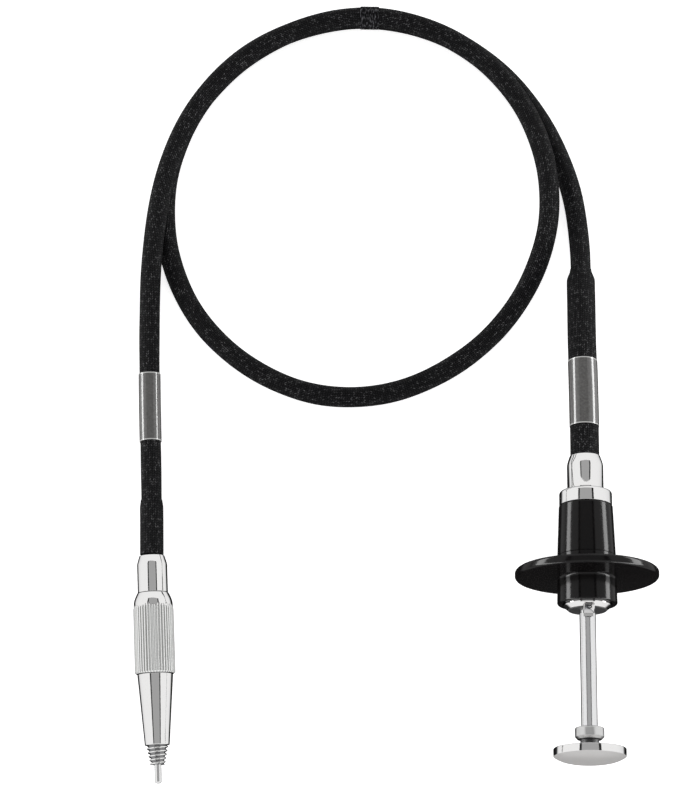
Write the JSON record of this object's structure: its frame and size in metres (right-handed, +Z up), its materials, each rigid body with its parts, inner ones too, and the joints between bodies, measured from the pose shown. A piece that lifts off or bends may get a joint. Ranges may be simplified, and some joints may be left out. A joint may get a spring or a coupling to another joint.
{
  "type": "cable shutter release",
  "caption": "Cable shutter release: a sprung plunger handle with a locking finger disc drives a pin through a braided cable to a threaded camera tip.",
  "frame": {"origin": "on the table, under the middle of the box round the handle and the tip, without the cable", "axes": "+X from the tip towards the handle, +Y from the thumb button towards the cable loop, +Z up from the table"},
  "size_m": [0.1025, 0.1595, 0.0279],
  "materials": {
    "chrome": "polished",
    "steel": "bright satin",
    "brass": "machined",
    "black_gloss_plastic": "glossy black",
    "black_nylon": "matt black",
    "black_braid": "tight black braid",
    "grey_label": "grey band under clear sleeve",
    "black_thread": "wound black thread"
  },
  "bodies": {
    "handle_and_cable": {"handle_ferrule": "chrome", "sheath_anchor": "brass", "handle_casing_end": "steel", "barrel_end_ring": "chrome", "barrel": "black_gloss_plastic", "guide_tube": "chrome", "guide_bush": "black_nylon", "rod_clip": "chrome", "clip_rivet": "steel", "lock_ball_1": "steel", "lock_ball_2": "steel", "lock_ball_3": "steel", "cable_main": "black_braid", "strain_sleeve": "black_braid", "tip_end_sleeve": "black_braid", "handle_label_band": "grey_label", "tip_label_band": "grey_label", "loop_tie": "black_thread", "tip_ferrule": "chrome", "tip_casing_end": "steel", "swivel_stem": "steel", "handle_wire": "steel", "return_spring": "steel", "tip_wire": "steel"},
    "plunger": {"plunger_rod": "steel", "collar_pin": "steel", "spring_collar": "brass", "button_collar": "steel", "button_washer": "black_nylon", "wire_anchor": "brass", "thumb_button": "steel"},
    "lock_disc": {"lock_disc": "black_gloss_plastic", "disc_friction_ring": "steel"},
    "tip_swivel": {"knurled_sleeve": "chrome", "swivel_washer": "black_nylon", "cone_nose": "chrome", "threaded_nipple": "chrome"},
    "pin": {"release_pin": "steel", "pin_crimp": "brass"}
  },
  "joints": [
    {"name": "plunger_slide", "type": "slide", "parent": "handle_and_cable", "child": "plunger", "axis": [0.0096, 0.9953, -0.0958], "range_m": [0, 0.013], "stiffness_N_per_m": 250, "springref_m": -0.006, "deforming": ["return_spring", "handle_wire"]},
    {"name": "lock_slide", "type": "slide", "parent": "handle_and_cable", "child": "lock_disc", "axis": [-0.0096, -0.9953, 0.0958], "range_m": [0, 0.002]},
    {"name": "tip_swivel", "type": "hinge", "parent": "handle_and_cable", "child": "tip_swivel", "pos_m": [-0.0474, 0.00562, 0.00395], "axis": [0.0436, -0.999, 0], "continuous": true},
    {"name": "pin_slide", "type": "slide", "parent": "handle_and_cable", "child": "pin", "axis": [0.0436, -0.999, 0], "range_m": [0, 0.013], "deforming": ["tip_wire"]}
  ],
  "couplings": [
    {"joint": "pin_slide", "follows": "plunger_slide", "ratio": 1}
  ]
}
